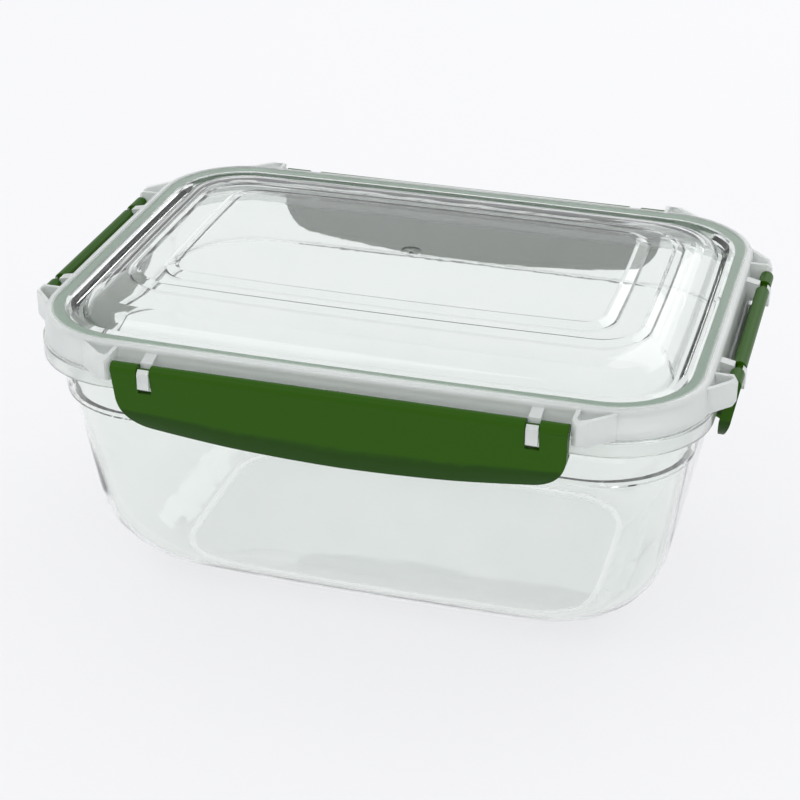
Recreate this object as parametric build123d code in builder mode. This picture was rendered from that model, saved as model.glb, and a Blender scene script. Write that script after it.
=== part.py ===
from build123d import *
import os
from math import cos, radians, sin

# Food storage box: a clear tub, a clear lid with a seal, and four snap clips hinged on the lid.
# Origin at the centre of the base, +Z up, +X along the length, the long front clip faces -Y.
# All sizes are in millimetres.

# Rim outline, seen from above, at the top of the lid
rim_half_length = 125.0
rim_half_width = 91.0
rim_corner = 36.0
long_side_bow = 1.9
short_side_bow = 0.7
rim_z = 117.5
wall = 1.6

# Lid
skirt_base_z = 106.5
skirt_flare = 0.9
rim_round = 2.0
round_steps = 3
flange_width = 9.4
moat_edge = 12.0
moat_width = 1.5
moat_z = 114.5
plug_outer = 7.0
plug_inner = 8.6
plug_base_z = 108.0
panel_half_length = 97.5
panel_half_width = 53.5
panel_corner = 17.0
panel_foot_z = 123.2
panel_z = 124.8
panel_slope = 3.0
shoulder_steps = 5
crown_half_length = 83.5
crown_half_width = 44.0
crown_corner = 9.0
crown_z = 126.3
crown_slope = 4.0
gate_radius = 4.0
gate_depth = 0.5
gate_nub = 0.9

# Seal, a soft ring under the flange
seal_outer = 1.9
seal_inner = 6.9
seal_height = 2.9
seal_lip = 0.8
seal_gap = 0.05

# Tub
tub_top_z = 112.7
tub_edge = 3.8
neck_base_z = 85.5
neck_half_length = 120.4
neck_half_width = 86.4
bowl_top_half_length = 119.0
bowl_top_half_width = 85.0
base_half_length = 109.1
base_half_width = 73.2
bowl_corner = 36.0
base_corner = 24.0
bottom_round = 40.0
roll_turn = 66.0
roll_steps = 6
foot_height = 1.2
foot_width = 2.5
foot_half_length = 85.4
foot_half_width = 49.5
foot_corner = 24.0
collar_top_z = 106.0
collar_base_z = 99.7
collar_reach = 1.5

# Snap clips; a reach is measured outward from the rim outline
clip_gap = 0.5
hinge_reach = 6.4
hinge_z = 111.5
barrel_radius = 2.6
bar_radius = 1.2
slot_width = 5.0
slot_base_z = 103.3
plate_slope = 0.17
plate_thickness = 2.2
end_thickness = 4.2
end_width = 1.8
curl_z = 93.5
curl_rise = 2.5
curl_reach = 3.4
clip_base_z = 82.0
clip_rise = 6.6
clip_trim = 0.8
clip_corner = 14.0
clip_taper = 1.2
edge_thickness = 1.4
latch_reach = 0.3
latch_z = 99.3
latch_height = 3.6
latch_tip = 0.7
long_clip_half = 83.0
long_slot_at = 70.4
short_clip_half = 48.2
short_slot_at = 36.0

# Hooks and lugs on the lid that carry the clips
hook_width = 4.3
hook_top_z = 115.6
cradle_gap = 0.25
cradle_wall = 1.3
cradle_top_z = 114.2
tab_top_z = 113.0
tab_base_z = 105.6
lug_reach = 8.0
lug_tip = 4.2
lug_length = 14.0
lug_chamfer = 1.8
lug_wall = 1.5
lug_top_z = 116.3
lug_floor_z = 108.0


def outline(half_length, half_width, corner):
    """A rounded rectangle whose four sides bow outward a little."""
    with BuildSketch() as shape:
        with BuildLine():
            end_x = half_length - short_side_bow
            end_y = half_width - long_side_bow
            ThreePointArc((-end_x, -end_y), (0, -half_width), (end_x, -end_y))
            ThreePointArc((end_x, -end_y), (half_length, 0), (end_x, end_y))
            ThreePointArc((end_x, end_y), (0, half_width), (-end_x, end_y))
            ThreePointArc((-end_x, end_y), (-half_length, 0), (-end_x, -end_y))
        make_face()
        fillet(shape.vertices(), corner)
    return shape.sketch


def ring(z, half_length, half_width, corner):
    """The bowed outline of a given size at height z."""
    return Plane.XY.offset(z) * outline(half_length, half_width, corner)


def rim(z, inset):
    """The rim outline drawn in by an inset at height z."""
    return ring(z, rim_half_length - inset, rim_half_width - inset, rim_corner - inset)


def bowl_rings(inset):
    """Sections of the tub below its neck: the drafted wall's top, then the roll into the flat base."""
    draft_x = bowl_top_half_length - base_half_length
    draft_y = bowl_top_half_width - base_half_width
    sections = [ring(neck_base_z, bowl_top_half_length - inset, bowl_top_half_width - inset,
                     bowl_corner - inset)]
    radius = bottom_round - inset
    for step in range(roll_steps + 1):
        angle = radians(roll_turn * step / roll_steps)
        z = foot_height + inset + radius * (1 - sin(angle) / sin(radians(roll_turn)))
        roll = radius * (1 - cos(angle))
        up = z / neck_base_z
        corner = bowl_corner + (base_corner - bowl_corner) * step / roll_steps - inset
        sections.append(ring(z, base_half_length + draft_x * up - inset - roll,
                             base_half_width + draft_y * up - inset - roll, corner))
    return sections


def shoulder(lift):
    """Sections of the raised middle of the lid, from the moat up its rounded shoulder to the panel."""
    inset = moat_edge + moat_width
    foot = (rim_half_length - inset, rim_half_width - inset, rim_corner - inset)
    top = (panel_half_length + panel_slope, panel_half_width + panel_slope, panel_corner + panel_slope)
    sections = []
    for step in range(shoulder_steps + 1):
        angle = radians(90 * step / shoulder_steps)
        sizes = [low + (high - low) * (1 - cos(angle)) - lift for low, high in zip(foot, top)]
        sections.append(ring(moat_z + (panel_foot_z - moat_z) * sin(angle) - lift, *sizes))
    return sections


def plateau(half_length, half_width, corner, slope, low_z, high_z, lift):
    """Two sections of a flat plateau: the foot of its sloping sides, and its top."""
    return [ring(low_z - lift, half_length + slope - lift, half_width + slope - lift, corner + slope - lift),
            ring(high_z - lift, half_length - lift, half_width - lift, corner - lift)]


def raised_middle(lift, mode=Mode.ADD):
    """The raised middle of the lid with its panel and crown, drawn in and down by a lift."""
    loft(shoulder(lift), ruled=True, mode=mode)
    loft(plateau(panel_half_length, panel_half_width, panel_corner, panel_slope,
                 panel_foot_z, panel_z, lift), mode=mode)
    loft(plateau(crown_half_length, crown_half_width, crown_corner, crown_slope,
                 panel_z, crown_z, lift), mode=mode)


def rim_edge():
    """Sections of the lid's rim: the drafted skirt, then the rounded top edge."""
    sections = [rim(skirt_base_z, -skirt_flare)]
    for step in range(round_steps + 1):
        angle = radians(90 * step / round_steps)
        sections.append(rim(rim_z - rim_round * (1 - sin(angle)), rim_round * (1 - cos(angle))))
    return sections


def lipped(reach, lip):
    """Sections of one wall of the seal, whose lower edge is drawn in or out by a lip."""
    top_z = rim_z - wall - seal_gap
    base_z = top_z - seal_height
    return [rim(base_z, reach + lip), rim(base_z + seal_lip, reach), rim(top_z, reach)]


def at(out, z):
    """A point of a section through one side: distance out from the skirt, and height."""
    return (-out, z)


def on_side(shape, turn):
    """A copy of a shape modelled on the front side, moved to the side at this turn."""
    reach = rim_half_width if turn % 180 == 0 else rim_half_length
    return Rot(0, 0, turn) * Pos(0, -reach, 0) * shape


def hook(along):
    """One cradle, open at the top, that holds the bar of a clip."""
    inner = hinge_reach - bar_radius - cradle_gap
    outer = hinge_reach + bar_radius + cradle_gap
    tab = outer + cradle_wall
    with BuildPart() as shape:
        with BuildSketch(Plane.YZ.offset(along - hook_width / 2)):
            with BuildLine():
                Polyline(at(-wall, hook_top_z), at(inner, cradle_top_z), at(outer, tab_top_z),
                         at(tab, tab_top_z - cradle_wall), at(tab, tab_base_z), at(outer, tab_base_z),
                         at(hinge_reach, hinge_z - bar_radius - 2 * cradle_wall),
                         at(-wall, skirt_base_z + cradle_gap), at(-wall, hook_top_z))
            make_face()
            with Locations(at(hinge_reach, hinge_z - bar_radius - cradle_gap)):
                Rectangle(outer - inner, hook_top_z - slot_base_z, align=(Align.CENTER, Align.MIN),
                          mode=Mode.SUBTRACT)
        extrude(amount=hook_width)
    return shape.part


def lug(along):
    """The guard at one end of a clip: a pocket, open at the top, whose front runs back to the corner."""
    with BuildPart() as shape:
        with BuildSketch(Plane.XY.offset(skirt_base_z)) as plan:
            with BuildLine():
                Polyline((along, 2 * wall), (along, -lug_reach), (along + lug_tip, -lug_reach),
                         (along + lug_length, wall / 2), (along + lug_length, 2 * wall), (along, 2 * wall))
            make_face()
            chamfer(plan.vertices().group_by(Axis.Y)[0], lug_chamfer)
        extrude(amount=lug_top_z - skirt_base_z)
        with BuildSketch(Plane.XY.offset(lug_floor_z)):
            add(plan.sketch_local)
            offset(amount=-lug_wall, mode=Mode.REPLACE)
        extrude(amount=lug_top_z - lug_floor_z, mode=Mode.SUBTRACT)
        with BuildSketch(Plane.YZ.offset(along)):
            with BuildLine():
                Polyline(at(-2 * wall, lug_top_z), at(lug_reach - lug_chamfer, lug_top_z),
                         at(lug_reach, lug_top_z - lug_chamfer),
                         at(lug_reach, skirt_base_z + lug_chamfer / 2),
                         at(lug_reach - lug_chamfer / 2, skirt_base_z),
                         at(-2 * wall, skirt_base_z), at(-2 * wall, lug_top_z))
            make_face()
        extrude(amount=lug_length, mode=Mode.INTERSECT)
    return shape.part


def clip_section(along, half, thickness):
    """The plate of a clip cut across at one place: a sloping face, then a curl in to the lower edge."""
    bow = (along / half) ** 2
    edge_z = clip_base_z + clip_rise * bow - clip_trim
    turn_z = curl_z + curl_rise * bow
    top = hinge_reach + barrel_radius
    turn = top - plate_slope * (hinge_z - turn_z)
    with BuildSketch(Plane.YZ.offset(along)) as section:
        with BuildLine():
            Line(at(top, hinge_z), at(turn, turn_z))
            TangentArc(at(turn, turn_z), at(turn - curl_reach, edge_z), tangent=(plate_slope, -1))
            Polyline(at(turn - curl_reach, edge_z), at(turn - curl_reach - edge_thickness, edge_z),
                     at(turn - thickness, turn_z), at(top - thickness, hinge_z), at(top, hinge_z))
        make_face()
    return section.sketch


def clip_front_view(half):
    """The outline of a clip seen from the front, with its bowed lower edge and round lower corners."""
    top_z = hinge_z + 2 * barrel_radius
    end = half - clip_taper
    end_z = clip_base_z + clip_rise
    with BuildSketch() as shape:
        with BuildLine():
            ThreePointArc((-end, end_z), (0, clip_base_z), (end, end_z))
            Polyline((end, end_z), (half, top_z), (-half, top_z), (-end, end_z))
        make_face()
        fillet([corner for corner in shape.vertices() if corner.Y < hinge_z], clip_corner)
    return shape.sketch


def clip(half, slot_at):
    """A snap clip: a hinge barrel with two bars, a curled plate, deeper ends, and a latch rib inside."""
    places = [half * step / 2 for step in (-2, -1, 0, 1, 2)]
    root = hinge_reach + barrel_radius - plate_slope * (hinge_z - latch_z) - plate_thickness / 2
    with BuildPart() as shape:
        loft([clip_section(along, half, end_thickness) for along in places], ruled=True)
        with BuildSketch(Plane.XZ):
            add(clip_front_view(half))
            offset(amount=-end_width, mode=Mode.REPLACE)
        extrude(amount=2 * end_thickness + lug_reach, both=True, mode=Mode.SUBTRACT)
        loft([clip_section(along, half, plate_thickness) for along in places], ruled=True)
        with BuildSketch(Plane.YZ.offset(-half)):
            with Locations(at(hinge_reach, hinge_z)):
                Circle(barrel_radius)
            with BuildLine():
                Polyline(at(root, latch_z), at(latch_reach, latch_z), at(latch_reach, latch_z - latch_tip),
                         at(root, latch_z - latch_height), at(root, latch_z))
            make_face()
        extrude(amount=2 * half)
        with BuildSketch(Plane.XZ):
            add(clip_front_view(half))
        extrude(amount=2 * end_thickness + lug_reach, both=True, mode=Mode.INTERSECT)
        with BuildSketch(Plane.XZ):
            with Locations((-slot_at, slot_base_z), (slot_at, slot_base_z)):
                Rectangle(slot_width, 2 * (hinge_z - slot_base_z), align=(Align.CENTER, Align.MIN))
        extrude(amount=2 * lug_reach, mode=Mode.SUBTRACT)
        with BuildSketch(Plane.YZ.offset(-slot_at - slot_width)):
            with Locations(at(hinge_reach, hinge_z)):
                Circle(bar_radius)
        extrude(amount=2 * (slot_at + slot_width))
    return shape.part


os.makedirs("parts", exist_ok=True)

with BuildPart() as tub:
    extrude(outline(foot_half_length, foot_half_width, foot_corner), amount=2 * foot_height)
    extrude(outline(foot_half_length - foot_width, foot_half_width - foot_width, foot_corner - foot_width),
            amount=2 * foot_height, mode=Mode.SUBTRACT)
    extrude(rim(collar_base_z, -collar_reach), amount=collar_top_z - collar_base_z)
    extrude(rim(collar_base_z, wall - collar_reach), amount=collar_top_z - wall - collar_base_z,
            mode=Mode.SUBTRACT)
    loft([ring(neck_base_z - wall, neck_half_length, neck_half_width, bowl_corner),
          rim(tub_top_z, tub_edge)])
    loft(bowl_rings(0), ruled=True)
    loft(bowl_rings(wall), ruled=True, mode=Mode.SUBTRACT)
    loft([ring(neck_base_z, neck_half_length - wall, neck_half_width - wall, bowl_corner - wall),
          rim(tub_top_z, tub_edge + wall)], mode=Mode.SUBTRACT)
tub.part.label = "tub"
export_step(tub.part, "parts/tub.step")

with BuildPart() as lid:
    loft(rim_edge(), ruled=True)
    for turn, half, slot_at in ((0, long_clip_half, long_slot_at), (180, long_clip_half, long_slot_at),
                                (90, short_clip_half, short_slot_at), (270, short_clip_half, short_slot_at)):
        for shape in (hook(-slot_at), hook(slot_at), lug(half + clip_gap),
                      mirror(lug(half + clip_gap), about=Plane.YZ, mode=Mode.PRIVATE)):
            add(on_side(shape, turn))
    loft([rim(rim_z, flange_width), rim(moat_z, moat_edge)], mode=Mode.SUBTRACT)
    raised_middle(0)
    extrude(rim(skirt_base_z, plug_inner), amount=moat_z - wall - skirt_base_z, mode=Mode.SUBTRACT)
    raised_middle(wall, Mode.SUBTRACT)
    with BuildPart(mode=Mode.PRIVATE) as channel:
        extrude(rim(skirt_base_z, wall), amount=rim_z - wall - skirt_base_z)
        extrude(rim(plug_base_z, plug_outer), amount=rim_z - plug_base_z, mode=Mode.SUBTRACT)
    add(channel.part, mode=Mode.SUBTRACT)
    with BuildSketch(Plane.XY.offset(crown_z - gate_depth)):
        Circle(gate_radius)
        Circle(gate_nub, mode=Mode.SUBTRACT)
    extrude(amount=gate_depth, mode=Mode.SUBTRACT)
lid.part.label = "lid"
export_step(lid.part, "parts/lid.step")

with BuildPart() as seal:
    loft(lipped(seal_outer, seal_lip), ruled=True)
    loft(lipped(seal_inner, -seal_lip), ruled=True, mode=Mode.SUBTRACT)
seal.part.label = "seal"
export_step(seal.part, "parts/seal.step")

long_clip = clip(long_clip_half, long_slot_at)
short_clip = clip(short_clip_half, short_slot_at)

with BuildPart() as clip_front:
    add(on_side(long_clip, 0))
clip_front.part.label = "clip_front"
export_step(clip_front.part, "parts/clip_front.step")

with BuildPart() as clip_back:
    add(on_side(long_clip, 180))
clip_back.part.label = "clip_back"
export_step(clip_back.part, "parts/clip_back.step")

with BuildPart() as clip_right:
    add(on_side(short_clip, 90))
clip_right.part.label = "clip_right"
export_step(clip_right.part, "parts/clip_right.step")

with BuildPart() as clip_left:
    add(on_side(short_clip, 270))
clip_left.part.label = "clip_left"
export_step(clip_left.part, "parts/clip_left.step")
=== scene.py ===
import math

import bpy
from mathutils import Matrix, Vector

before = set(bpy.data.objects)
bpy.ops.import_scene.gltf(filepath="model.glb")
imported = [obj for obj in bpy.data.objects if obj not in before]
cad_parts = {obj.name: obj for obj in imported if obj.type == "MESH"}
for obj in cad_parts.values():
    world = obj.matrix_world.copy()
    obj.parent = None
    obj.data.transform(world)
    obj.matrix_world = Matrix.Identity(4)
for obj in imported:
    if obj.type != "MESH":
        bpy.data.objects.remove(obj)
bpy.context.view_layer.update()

# The camera: its angle round the object, its height above the horizon, its roll, its distance from the
# frame's origin, and how far its axis passes from that origin, sideways and up.
CAMERA_AZIMUTH = 15.7
CAMERA_ELEVATION = 27.9
CAMERA_ROLL = 0.455
CAMERA_DISTANCE = 0.8352
CAMERA_ASIDE = 0.00327
CAMERA_ABOVE = 0.0544
LENS_MM = 91.1
SENSOR_MM = 36.0

# The floor's half size, where the lights aim, and the surround's strength at the horizon and overhead
FLOOR_HALF = 6.0
LIGHT_TARGET = (0, 0, 0.08)
SURROUND_LOW = 0.955
SURROUND_HIGH = 1.0
OVERHEAD = 0.9

# Faces that meet at less than this many degrees are shaded as one smooth surface. Above a height, at the
# steps of the lid's panel and crown, faces whose normals rise differently stay crisp all the same.
SMOOTH_LIMIT = 35.0
CRISP_ABOVE = 0.1214
CRISP_RISE = 0.03
LEVEL = 0.9999
PLACE_DIGITS = 5

# The rim's outline seen from above, and how far inside it the plastic starts and ends to turn milky
RIM_HALF = (0.125, 0.091)
RIM_CORNER = 0.036
FROST_START = 0.0042
FROST_END = 0.0026

# The part of the noise's range that drives roughness, and the radius shown on the opaque pieces' edges
NOISE_LOW = 0.3
NOISE_HIGH = 0.7
EDGE_RADIUS = 0.0005

# How far down a clip's surface looks where its band of painted shade is full, and where it starts
PAINTED_SHADE_FULL = -0.24
PAINTED_SHADE_START = -0.19

# Sockets of a colour mix
MIX_FACTOR = 0
MIX_FIRST = 6
MIX_SECOND = 7
MIX_RESULT = 2


def srgb(red, green, blue):
    """A linear colour from its 0 to 255 screen values."""
    values = []
    for value in (red, green, blue):
        value = value / 255
        values.append(value / 12.92 if value <= 0.04045 else ((value + 0.055) / 1.055) ** 2.4)
    return (*values, 1.0)


def new_material(name):
    """A new node material: the material, its node tree and its main shader."""
    material = bpy.data.materials.new(name)
    material.use_nodes = True
    tree = material.node_tree
    return material, tree, tree.nodes["Principled BSDF"]


def grain(tree, shader, scale, depth):
    """Fine unevenness of a moulded surface. Gives the noise's value and the bump node that it drives."""
    place = tree.nodes.new("ShaderNodeTexCoord")
    noise = tree.nodes.new("ShaderNodeTexNoise")
    noise.inputs["Scale"].default_value = scale
    noise.inputs["Detail"].default_value = 3.0
    bump = tree.nodes.new("ShaderNodeBump")
    bump.inputs["Distance"].default_value = depth
    tree.links.new(place.outputs["Object"], noise.inputs["Vector"])
    tree.links.new(noise.outputs["Fac"], bump.inputs["Height"])
    tree.links.new(bump.outputs["Normal"], shader.inputs["Normal"])
    return noise.outputs["Fac"], bump


def round_edges(tree, bump):
    """A small radius on the sharp edges of an opaque moulding."""
    rounded = tree.nodes.new("ShaderNodeBevel")
    rounded.inputs["Radius"].default_value = EDGE_RADIUS
    tree.links.new(rounded.outputs["Normal"], bump.inputs["Normal"])


def ranged(tree, source, low, high, to_low, to_high):
    """A value carried from one range to another, clamped at both ends."""
    spread = tree.nodes.new("ShaderNodeMapRange")
    spread.inputs["From Min"].default_value = low
    spread.inputs["From Max"].default_value = high
    spread.inputs["To Min"].default_value = to_low
    spread.inputs["To Max"].default_value = to_high
    tree.links.new(source, spread.inputs["Value"])
    return spread.outputs["Result"]


def two_tone(tree, factor, first, second):
    """A colour between two tones. Each tone is a fixed colour or the socket that gives it."""
    mix = tree.nodes.new("ShaderNodeMix")
    mix.data_type = "RGBA"
    for socket, tone in ((mix.inputs[MIX_FIRST], first), (mix.inputs[MIX_SECOND], second)):
        if isinstance(tone, bpy.types.NodeSocket):
            tree.links.new(tone, socket)
        else:
            socket.default_value = tone
    tree.links.new(factor, mix.inputs[MIX_FACTOR])
    return mix.outputs[MIX_RESULT]


def vector_step(tree, operation, source, value=(0, 0, 0)):
    """One step of arithmetic on a place."""
    node = tree.nodes.new("ShaderNodeVectorMath")
    node.operation = operation
    tree.links.new(source, node.inputs[0])
    node.inputs[1].default_value = value
    return node


def milkiness(tree):
    """0 well inside the rim's outline and 1 from the rim outward, seen from above."""
    place = tree.nodes.new("ShaderNodeTexCoord")
    half_x, half_y = RIM_HALF
    corner = (half_x - RIM_CORNER, half_y - RIM_CORNER, 0)
    level = vector_step(tree, "MULTIPLY", place.outputs["Object"], (1, 1, 0))
    folded = vector_step(tree, "ABSOLUTE", level.outputs[0])
    inner = vector_step(tree, "SUBTRACT", folded.outputs[0], corner)
    outer = vector_step(tree, "MAXIMUM", inner.outputs[0])
    length = vector_step(tree, "LENGTH", outer.outputs[0])
    start = RIM_CORNER - FROST_START
    end = RIM_CORNER - FROST_END
    return ranged(tree, length.outputs["Value"], start, end, 0.0, 1.0)


def clear_plastic(name, clear, frosted):
    """Clear moulded plastic with a milky rim. Clear and frosted each give transmission and roughness."""
    material, tree, shader = new_material(name)
    shader.inputs["IOR"].default_value = 1.46
    noise, _ = grain(tree, shader, 60.0, 0.00003)
    tone = two_tone(tree, noise, srgb(246, 250, 247), srgb(252, 254, 252))
    tree.links.new(tone, shader.inputs["Base Color"])
    milky = milkiness(tree)
    for row, socket in enumerate(("Transmission Weight", "Roughness")):
        value = ranged(tree, milky, 0.0, 1.0, clear[row], frosted[row])
        tree.links.new(value, shader.inputs[socket])
    return material


def green_plastic():
    """Deep green satin plastic of the clips, with shade painted darker where the plate curls in to its
    lower edge and faces down.
    """
    material, tree, shader = new_material("clip_green")
    shader.inputs["IOR"].default_value = 1.45
    shader.inputs["Specular IOR Level"].default_value = 0.14
    noise, bump = grain(tree, shader, 5000.0, 0.000008)
    round_edges(tree, bump)
    place = tree.nodes.new("ShaderNodeTexCoord")
    split = tree.nodes.new("ShaderNodeSeparateXYZ")
    tree.links.new(place.outputs["Normal"], split.inputs["Vector"])
    # Painted shade: the base colour turns darker where the surface faces down, as the plate curls in to
    # its lower edge.
    curl_shade = ranged(tree, split.outputs["Z"], PAINTED_SHADE_FULL, PAINTED_SHADE_START, 1.0, 0.0)
    plate = two_tone(tree, noise, srgb(38, 80, 0), srgb(46, 88, 0))
    tree.links.new(two_tone(tree, curl_shade, plate, srgb(29, 66, 0)), shader.inputs["Base Color"])
    rough = ranged(tree, noise, NOISE_LOW, NOISE_HIGH, 0.3, 0.4)
    tree.links.new(rough, shader.inputs["Roughness"])
    return material


def seal_rubber():
    """Soft grey green silicone of the seal."""
    material, tree, shader = new_material("seal_rubber")
    noise, bump = grain(tree, shader, 900.0, 0.00002)
    round_edges(tree, bump)
    tone = two_tone(tree, noise, srgb(136, 168, 142), srgb(148, 180, 154))
    tree.links.new(tone, shader.inputs["Base Color"])
    rough = ranged(tree, noise, NOISE_LOW, NOISE_HIGH, 0.5, 0.65)
    tree.links.new(rough, shader.inputs["Roughness"])
    return material


def shaded_normal(face, near, crisp):
    """The normal of a face's corner, given the faces around it. A level face among them sets it."""
    limit = math.cos(math.radians(SMOOTH_LIMIT))
    joined = [other for other in near if face.normal.dot(other.normal) > limit]
    if crisp:
        joined = [other for other in joined if abs(face.normal.z - other.normal.z) < CRISP_RISE]
    level = [other for other in joined if abs(other.normal.z) > LEVEL]
    if level:
        return level[0].normal.copy()
    total = Vector()
    for other in joined:
        total += other.normal * other.area
    return total.normalized()


def smooth(mesh):
    """Shades a mesh smoothly wherever its faces meet at a small angle. No vertex moves."""
    places = [tuple(round(value, PLACE_DIGITS) for value in vertex.co) for vertex in mesh.vertices]
    around = {}
    for face in mesh.polygons:
        for index in face.vertices:
            around.setdefault(places[index], []).append(face)
    normals = []
    for face in mesh.polygons:
        for index in face.vertices:
            crisp = mesh.vertices[index].co.z > CRISP_ABOVE
            normals.append(shaded_normal(face, around[places[index]], crisp))
    mesh.shade_smooth()
    mesh.normals_split_custom_set(normals)


def dress(node, material):
    """Gives a CAD node its material and its smooth shading."""
    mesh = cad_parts[node].data
    mesh.materials.clear()
    mesh.materials.append(material)
    smooth(mesh)


def make_camera():
    """The camera at the photograph's angle."""
    turn = math.radians(CAMERA_AZIMUTH)
    rise = math.radians(CAMERA_ELEVATION)
    roll = math.radians(CAMERA_ROLL)
    back = Vector((math.sin(turn) * math.cos(rise), -math.cos(turn) * math.cos(rise), math.sin(rise)))
    level = Vector((0, 0, 1)).cross(back).normalized()
    upright = back.cross(level)
    right = level * math.cos(roll) + upright * math.sin(roll)
    up = upright * math.cos(roll) - level * math.sin(roll)
    place = back * CAMERA_DISTANCE - right * CAMERA_ASIDE + up * CAMERA_ABOVE
    data = bpy.data.cameras.new("camera")
    data.sensor_width = SENSOR_MM
    data.lens = LENS_MM
    camera = bpy.data.objects.new("camera", data)
    bpy.context.collection.objects.link(camera)
    matrix = camera.matrix_world.copy()
    for row in range(3):
        matrix[row] = (right[row], up[row], back[row], place[row])
    camera.matrix_world = matrix
    bpy.context.scene.camera = camera


def area_light(name, place, size, power):
    """A soft square light that faces the object."""
    data = bpy.data.lights.new(name, "AREA")
    data.size = size
    data.energy = power
    light = bpy.data.objects.new(name, data)
    light.location = place
    light.rotation_euler = (Vector(LIGHT_TARGET) - Vector(place)).to_track_quat("-Z", "Y").to_euler()
    bpy.context.collection.objects.link(light)


def make_floor():
    """A pale floor that glows like a light table."""
    corners = [(-FLOOR_HALF, -FLOOR_HALF, 0), (FLOOR_HALF, -FLOOR_HALF, 0),
               (FLOOR_HALF, FLOOR_HALF, 0), (-FLOOR_HALF, FLOOR_HALF, 0)]
    mesh = bpy.data.meshes.new("floor")
    mesh.from_pydata(corners, [], [(0, 1, 2, 3)])
    floor = bpy.data.objects.new("floor", mesh)
    bpy.context.collection.objects.link(floor)
    material, _, shader = new_material("floor_pale")
    shader.inputs["Base Color"].default_value = srgb(132, 132, 133)
    shader.inputs["Roughness"].default_value = 0.9
    shader.inputs["Specular IOR Level"].default_value = 0.0
    shader.inputs["Emission Color"].default_value = srgb(219, 219, 221)
    shader.inputs["Emission Strength"].default_value = 1.0
    mesh.materials.append(material)


def make_surround():
    """A pale surround that is brightest overhead."""
    world = bpy.data.worlds.new("surround")
    world.use_nodes = True
    tree = world.node_tree
    background = tree.nodes["Background"]
    background.inputs["Color"].default_value = srgb(248, 249, 251)
    place = tree.nodes.new("ShaderNodeTexCoord")
    split = tree.nodes.new("ShaderNodeSeparateXYZ")
    tree.links.new(place.outputs["Generated"], split.inputs["Vector"])
    strength = ranged(tree, split.outputs["Z"], 0.0, OVERHEAD, SURROUND_LOW, SURROUND_HIGH)
    tree.links.new(strength, background.inputs["Strength"])
    bpy.context.scene.world = world


dress("tub", clear_plastic("tub_clear", (0.975, 0.02), (0.8, 0.2)))
dress("lid", clear_plastic("lid_clear", (0.975, 0.02), (0.45, 0.3)))
clip_green = green_plastic()
dress("seal", seal_rubber())
for side in ("front", "back", "left", "right"):
    dress("clip_" + side, clip_green)
make_camera()
make_floor()
make_surround()
area_light("key", (-0.5, -0.7, 1.2), 0.6, 1.2)
area_light("back", (0.4, 1.0, 0.9), 0.8, 2.0)
bpy.context.scene.view_settings.view_transform = "Standard"
